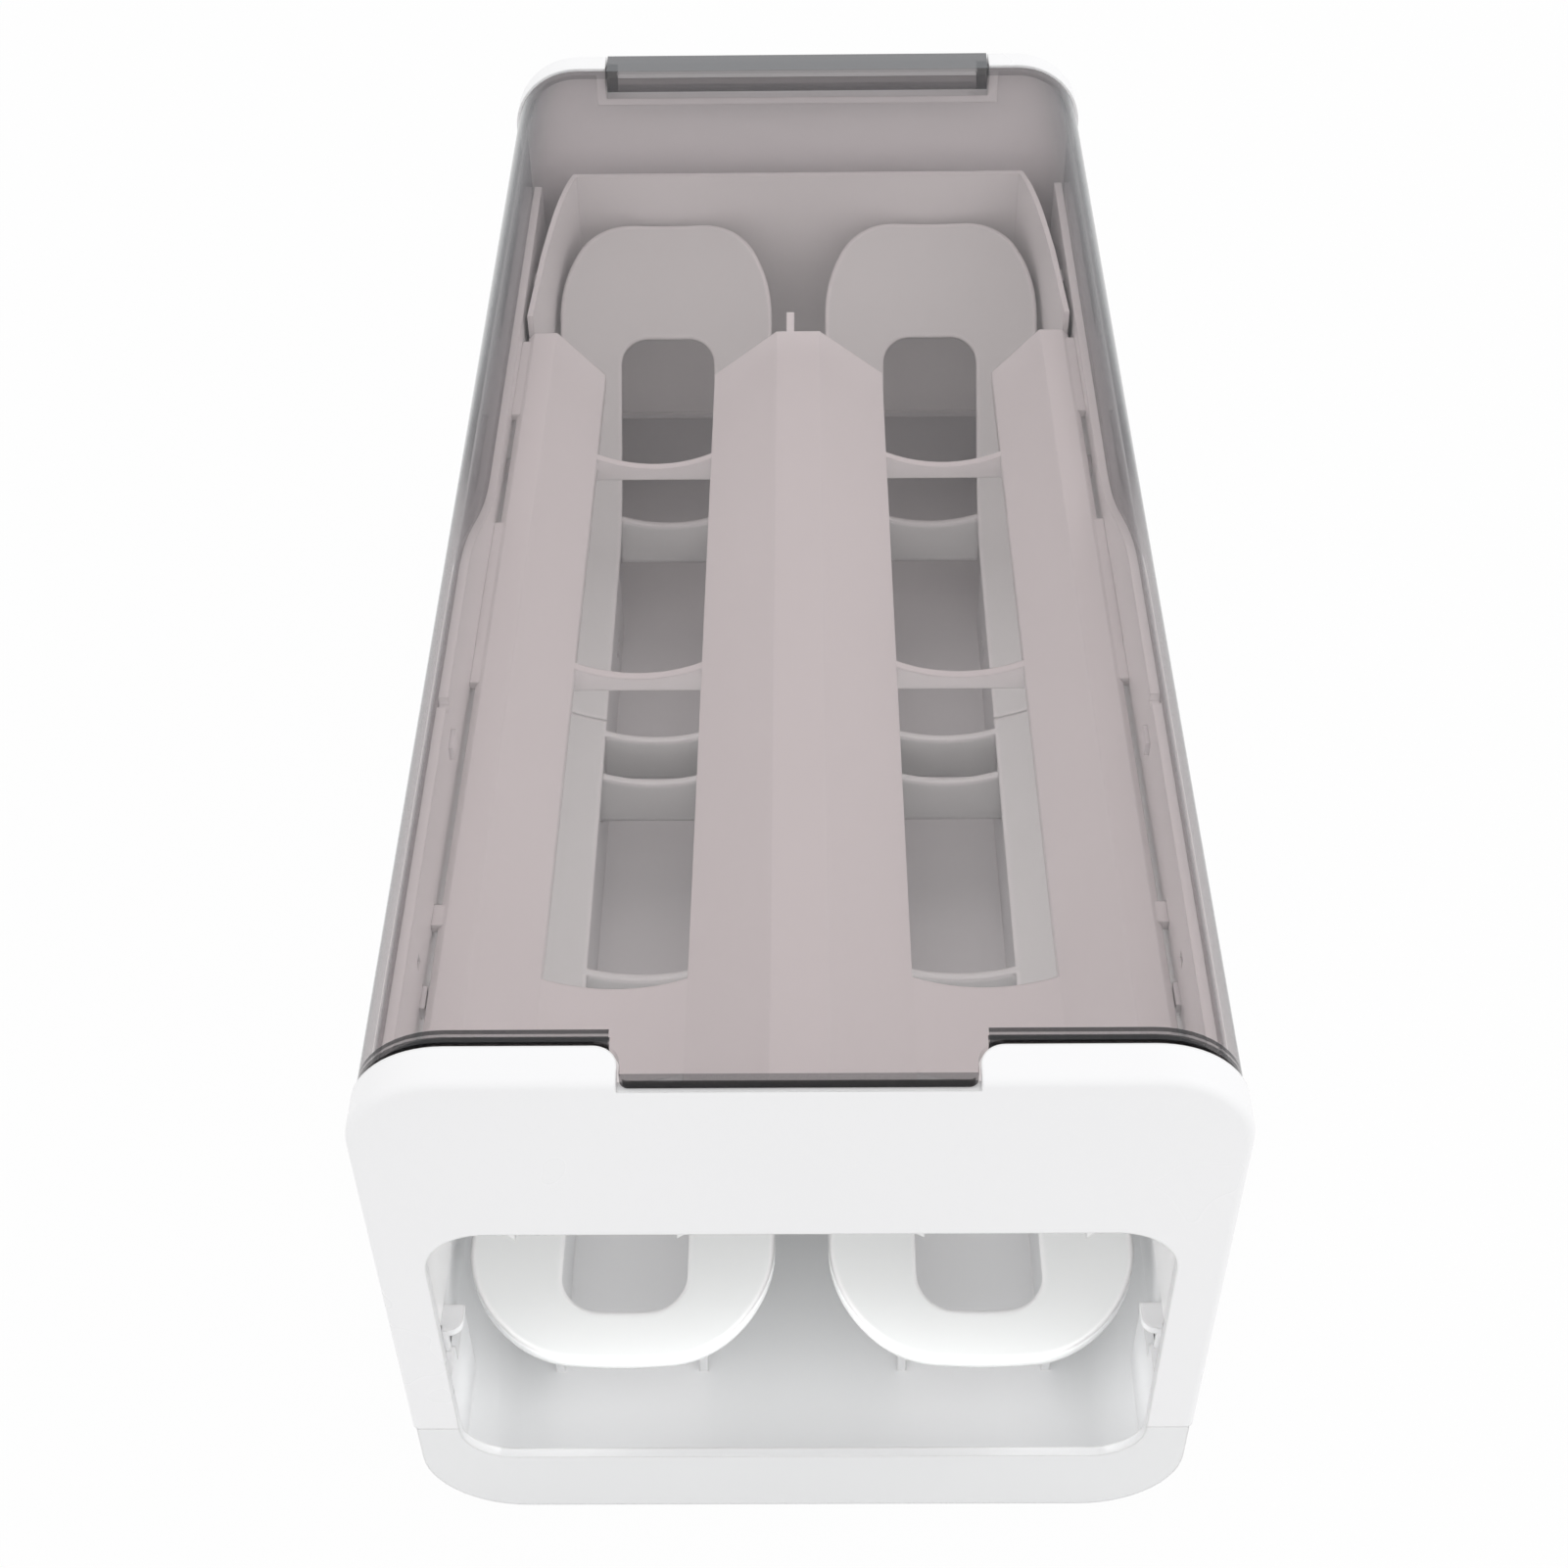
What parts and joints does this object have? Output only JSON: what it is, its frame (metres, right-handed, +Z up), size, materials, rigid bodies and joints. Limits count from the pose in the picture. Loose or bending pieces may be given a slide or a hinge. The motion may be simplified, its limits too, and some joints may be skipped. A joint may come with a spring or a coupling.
{
  "type": "rolling egg dispenser",
  "caption": "Egg bin for a refrigerator: eggs laid under a flip-up smoky cover roll down a sloping deck, drop at the rear and roll forward on curved runners to an open front window.",
  "frame": {"origin": "middle of the footprint, on the surface the box stands on", "axes": "+Z up, the open front window faces -Y, +X to the right seen from the front"},
  "size_m": [0.165, 0.377, 0.15],
  "materials": {
    "tray_white": "satin",
    "frame_white": "satin",
    "liner_white": "satin",
    "fascia_white": "satin",
    "deck_white": "satin",
    "runner_white": "satin",
    "smoky_clear": "polished"
  },
  "bodies": {
    "box": {"base_tray": "tray_white", "front_frame": "frame_white", "rear_panel": "frame_white", "side_wall_left": "liner_white", "side_wall_right": "liner_white", "side_fascia_left": "fascia_white", "side_fascia_right": "fascia_white", "upper_deck": "deck_white", "rear_guide": "liner_white", "lower_runner_front_left": "runner_white", "lower_runner_front_right": "runner_white", "lower_runner_rear_left": "runner_white", "lower_runner_rear_right": "runner_white"},
    "lid": {"cover": "smoky_clear"}
  },
  "joints": [
    {"name": "cover_hinge", "type": "hinge", "parent": "box", "child": "lid", "pos_m": [0, 0.1843, 0.1466], "axis": [-1, 0, 0], "range_deg": [0, 95]}
  ]
}
